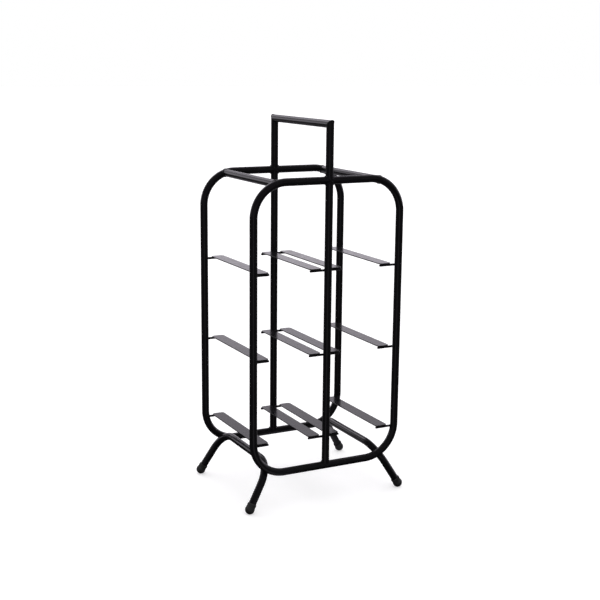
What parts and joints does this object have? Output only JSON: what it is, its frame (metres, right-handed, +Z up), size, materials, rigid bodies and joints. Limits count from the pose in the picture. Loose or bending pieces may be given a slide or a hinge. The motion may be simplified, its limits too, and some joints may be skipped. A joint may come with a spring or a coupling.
{
  "type": "bottle storage rack",
  "caption": "Free-standing black tube rack that holds bottles lying on their sides, with a carry handle on top and splayed legs with rubber caps.",
  "frame": {"origin": "on the floor, in the middle of the four feet", "axes": "+Z up, +X across the width to the right, -Y to the front"},
  "size_m": [0.224, 0.1686, 0.4748],
  "materials": {
    "frame_paint": "satin",
    "strip_paint": "satin",
    "foot_rubber": "matte"
  },
  "bodies": {
    "root": {"front_loop": "frame_paint", "back_loop": "frame_paint", "front_post": "frame_paint", "back_post": "frame_paint", "front_handle_post": "frame_paint", "back_handle_post": "frame_paint", "handle_bar": "frame_paint", "left_top_rail": "frame_paint", "right_top_rail": "frame_paint", "left_leg_tube": "frame_paint", "right_leg_tube": "frame_paint", "front_left_foot": "foot_rubber", "front_right_foot": "foot_rubber", "back_left_foot": "foot_rubber", "back_right_foot": "foot_rubber", "lower_left_side_strip": "strip_paint", "lower_left_centre_strip": "strip_paint", "lower_right_centre_strip": "strip_paint", "lower_right_side_strip": "strip_paint", "middle_left_side_strip": "strip_paint", "middle_left_centre_strip": "strip_paint", "middle_right_centre_strip": "strip_paint", "middle_right_side_strip": "strip_paint", "upper_left_side_strip": "strip_paint", "upper_left_centre_strip": "strip_paint", "upper_right_centre_strip": "strip_paint", "upper_right_side_strip": "strip_paint", "lower_front_left_rod": "frame_paint", "lower_front_centre_rod": "frame_paint", "lower_front_right_rod": "frame_paint", "lower_back_left_rod": "frame_paint", "lower_back_centre_rod": "frame_paint", "lower_back_right_rod": "frame_paint", "middle_front_left_rod": "frame_paint", "middle_front_centre_rod": "frame_paint", "middle_front_right_rod": "frame_paint", "middle_back_left_rod": "frame_paint", "middle_back_centre_rod": "frame_paint", "middle_back_right_rod": "frame_paint", "upper_front_left_rod": "frame_paint", "upper_front_centre_rod": "frame_paint", "upper_front_right_rod": "frame_paint", "upper_back_left_rod": "frame_paint", "upper_back_centre_rod": "frame_paint", "upper_back_right_rod": "frame_paint"}
  },
  "joints": []
}
